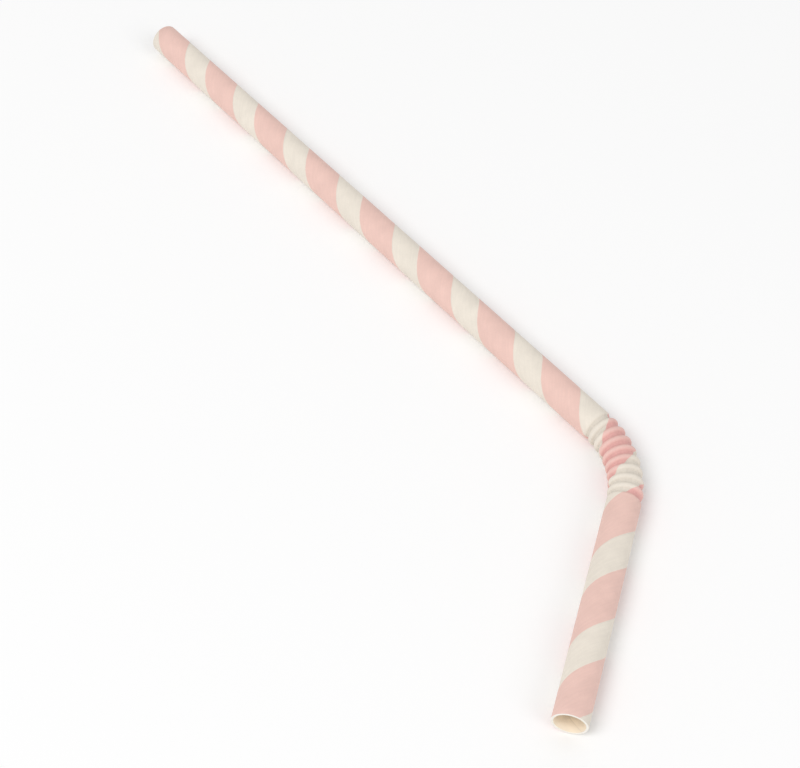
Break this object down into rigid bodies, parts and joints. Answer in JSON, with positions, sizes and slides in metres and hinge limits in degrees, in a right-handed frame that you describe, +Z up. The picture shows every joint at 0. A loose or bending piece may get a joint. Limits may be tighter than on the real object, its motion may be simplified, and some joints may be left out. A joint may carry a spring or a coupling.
{
  "type": "paper drinking straw",
  "caption": "Flexible-neck paper drinking straw with a spiral stripe, bent at its corrugated neck and open at both ends.",
  "frame": {"origin": "under the middle of the straw's box, on the surface that it lies on", "axes": "+X along the stem from its cut end towards the neck, +Z up, with the mouth end bent towards -Y"},
  "size_m": [0.1784, 0.048, 0.0062],
  "materials": {
    "striped_paper": "matte printed paper"
  },
  "bodies": {
    "root": {"straw": "striped_paper"}
  },
  "joints": []
}
